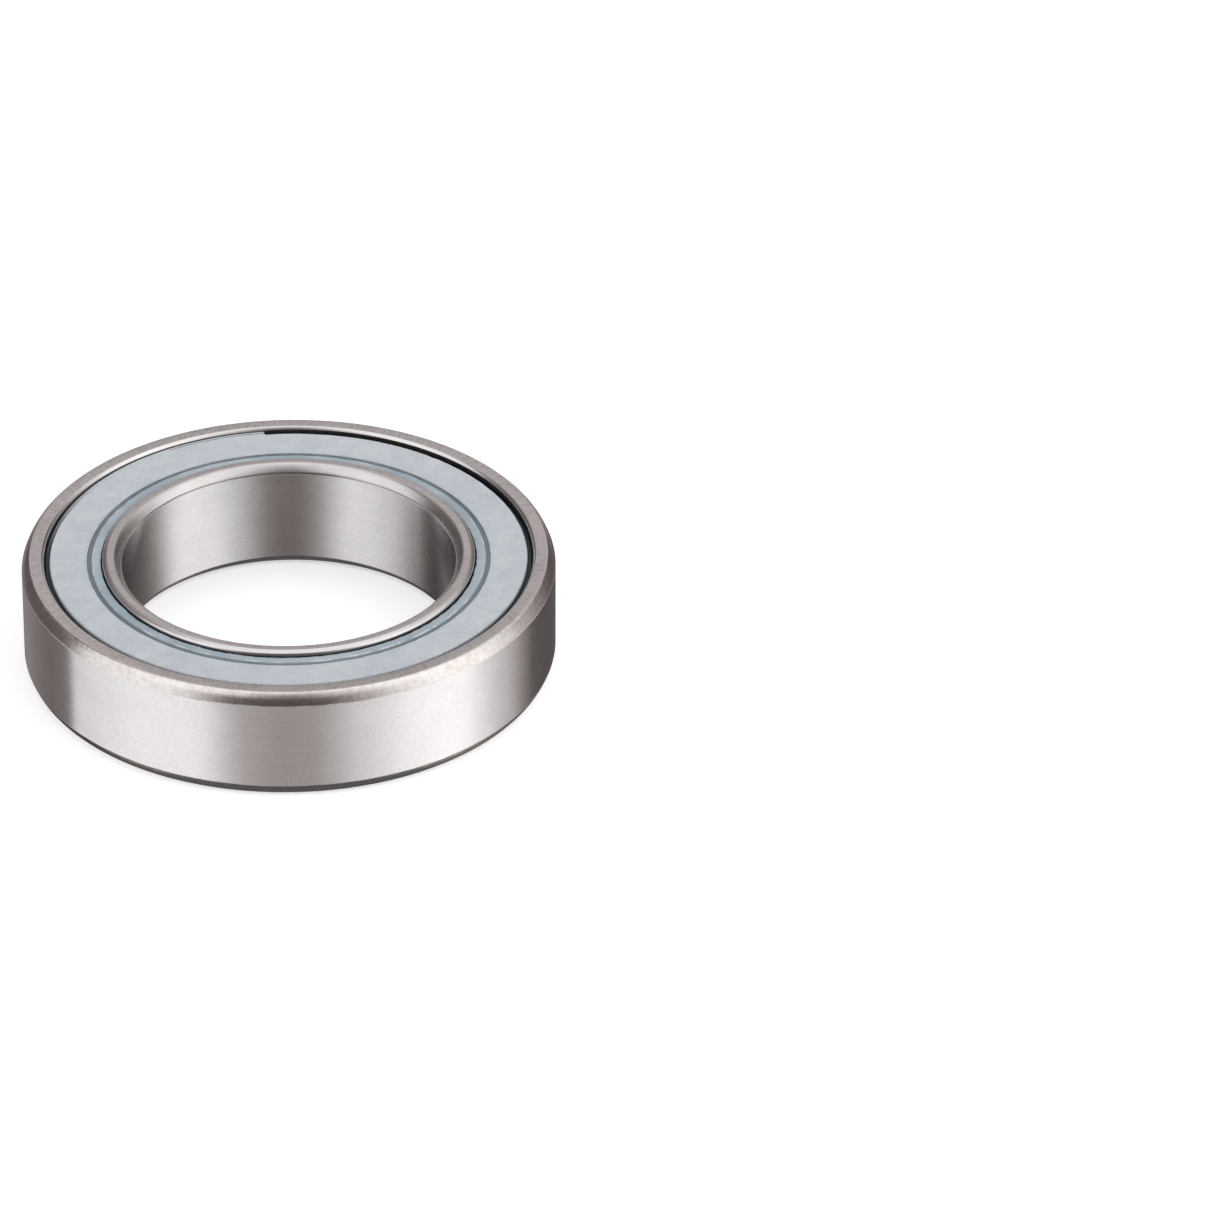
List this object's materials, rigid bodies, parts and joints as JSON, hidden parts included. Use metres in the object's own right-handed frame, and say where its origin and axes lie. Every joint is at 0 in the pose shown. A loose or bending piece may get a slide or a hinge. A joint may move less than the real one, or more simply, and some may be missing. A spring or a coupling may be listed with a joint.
{
  "type": "angular contact bearing",
  "caption": "Thin-section single-row angular contact ball bearing with a rubber contact seal on both sides.",
  "frame": {"origin": "centre of the bore, halfway between the two faces", "axes": "+Z along the bearing axis, towards the face beside the outer ring's high shoulder; +X through the centre of ball_01"},
  "size_m": [0.032, 0.032, 0.007],
  "materials": {
    "ring_steel": "ground bearing steel",
    "ball_steel": "polished bearing steel",
    "cage_polyamide": "glass-filled polyamide, as moulded",
    "seal_rubber": "matte blue-grey nitrile rubber",
    "insert_steel": "pressed steel sheet"
  },
  "bodies": {
    "outer": {"outer_ring": "ring_steel", "upper_seal_rubber": "seal_rubber", "upper_seal_insert": "insert_steel", "lower_seal_rubber": "seal_rubber", "lower_seal_insert": "insert_steel"},
    "inner": {"inner_ring": "ring_steel"},
    "cage": {"cage": "cage_polyamide"},
    "ball_01": {"ball_01": "ball_steel"},
    "ball_02": {"ball_02": "ball_steel"},
    "ball_03": {"ball_03": "ball_steel"},
    "ball_04": {"ball_04": "ball_steel"},
    "ball_05": {"ball_05": "ball_steel"},
    "ball_06": {"ball_06": "ball_steel"},
    "ball_07": {"ball_07": "ball_steel"},
    "ball_08": {"ball_08": "ball_steel"},
    "ball_09": {"ball_09": "ball_steel"},
    "ball_10": {"ball_10": "ball_steel"},
    "ball_11": {"ball_11": "ball_steel"},
    "ball_12": {"ball_12": "ball_steel"},
    "ball_13": {"ball_13": "ball_steel"},
    "ball_14": {"ball_14": "ball_steel"},
    "ball_15": {"ball_15": "ball_steel"},
    "ball_16": {"ball_16": "ball_steel"}
  },
  "joints": [
    {"name": "inner_spin", "type": "hinge", "parent": "outer", "child": "inner", "pos_m": [0, 0, 0], "axis": [0, 0, 1], "continuous": true},
    {"name": "cage_orbit", "type": "hinge", "parent": "outer", "child": "cage", "pos_m": [0, 0, 0], "axis": [0, 0, 1], "continuous": true},
    {"name": "ball_01_spin", "type": "hinge", "parent": "cage", "child": "ball_01", "pos_m": [0.013, 0, 0], "axis": [-0.4226, 0, 0.9063], "continuous": true},
    {"name": "ball_02_spin", "type": "hinge", "parent": "cage", "child": "ball_02", "pos_m": [0.01201, 0.00497, 0], "axis": [-0.3904, -0.1617, 0.9063], "continuous": true},
    {"name": "ball_03_spin", "type": "hinge", "parent": "cage", "child": "ball_03", "pos_m": [0.00919, 0.00919, 0], "axis": [-0.2988, -0.2988, 0.9063], "continuous": true},
    {"name": "ball_04_spin", "type": "hinge", "parent": "cage", "child": "ball_04", "pos_m": [0.00497, 0.01201, 0], "axis": [-0.1617, -0.3904, 0.9063], "continuous": true},
    {"name": "ball_05_spin", "type": "hinge", "parent": "cage", "child": "ball_05", "pos_m": [0, 0.013, 0], "axis": [0, -0.4226, 0.9063], "continuous": true},
    {"name": "ball_06_spin", "type": "hinge", "parent": "cage", "child": "ball_06", "pos_m": [-0.00497, 0.01201, 0], "axis": [0.1617, -0.3904, 0.9063], "continuous": true},
    {"name": "ball_07_spin", "type": "hinge", "parent": "cage", "child": "ball_07", "pos_m": [-0.00919, 0.00919, 0], "axis": [0.2988, -0.2988, 0.9063], "continuous": true},
    {"name": "ball_08_spin", "type": "hinge", "parent": "cage", "child": "ball_08", "pos_m": [-0.01201, 0.00497, 0], "axis": [0.3904, -0.1617, 0.9063], "continuous": true},
    {"name": "ball_09_spin", "type": "hinge", "parent": "cage", "child": "ball_09", "pos_m": [-0.013, 0, 0], "axis": [0.4226, 0, 0.9063], "continuous": true},
    {"name": "ball_10_spin", "type": "hinge", "parent": "cage", "child": "ball_10", "pos_m": [-0.01201, -0.00497, 0], "axis": [0.3904, 0.1617, 0.9063], "continuous": true},
    {"name": "ball_11_spin", "type": "hinge", "parent": "cage", "child": "ball_11", "pos_m": [-0.00919, -0.00919, 0], "axis": [0.2988, 0.2988, 0.9063], "continuous": true},
    {"name": "ball_12_spin", "type": "hinge", "parent": "cage", "child": "ball_12", "pos_m": [-0.00497, -0.01201, 0], "axis": [0.1617, 0.3904, 0.9063], "continuous": true},
    {"name": "ball_13_spin", "type": "hinge", "parent": "cage", "child": "ball_13", "pos_m": [0, -0.013, 0], "axis": [0, 0.4226, 0.9063], "continuous": true},
    {"name": "ball_14_spin", "type": "hinge", "parent": "cage", "child": "ball_14", "pos_m": [0.00497, -0.01201, 0], "axis": [-0.1617, 0.3904, 0.9063], "continuous": true},
    {"name": "ball_15_spin", "type": "hinge", "parent": "cage", "child": "ball_15", "pos_m": [0.00919, -0.00919, 0], "axis": [-0.2988, 0.2988, 0.9063], "continuous": true},
    {"name": "ball_16_spin", "type": "hinge", "parent": "cage", "child": "ball_16", "pos_m": [0.01201, -0.00497, 0], "axis": [-0.3904, 0.1617, 0.9063], "continuous": true}
  ],
  "couplings": [
    {"joint": "cage_orbit", "follows": "inner_spin", "ratio": 0.439},
    {"joint": "ball_01_spin", "follows": "inner_spin", "ratio": -3.659},
    {"joint": "ball_02_spin", "follows": "inner_spin", "ratio": -3.659},
    {"joint": "ball_03_spin", "follows": "inner_spin", "ratio": -3.659},
    {"joint": "ball_04_spin", "follows": "inner_spin", "ratio": -3.659},
    {"joint": "ball_05_spin", "follows": "inner_spin", "ratio": -3.659},
    {"joint": "ball_06_spin", "follows": "inner_spin", "ratio": -3.659},
    {"joint": "ball_07_spin", "follows": "inner_spin", "ratio": -3.659},
    {"joint": "ball_08_spin", "follows": "inner_spin", "ratio": -3.659},
    {"joint": "ball_09_spin", "follows": "inner_spin", "ratio": -3.659},
    {"joint": "ball_10_spin", "follows": "inner_spin", "ratio": -3.659},
    {"joint": "ball_11_spin", "follows": "inner_spin", "ratio": -3.659},
    {"joint": "ball_12_spin", "follows": "inner_spin", "ratio": -3.659},
    {"joint": "ball_13_spin", "follows": "inner_spin", "ratio": -3.659},
    {"joint": "ball_14_spin", "follows": "inner_spin", "ratio": -3.659},
    {"joint": "ball_15_spin", "follows": "inner_spin", "ratio": -3.659},
    {"joint": "ball_16_spin", "follows": "inner_spin", "ratio": -3.659}
  ]
}
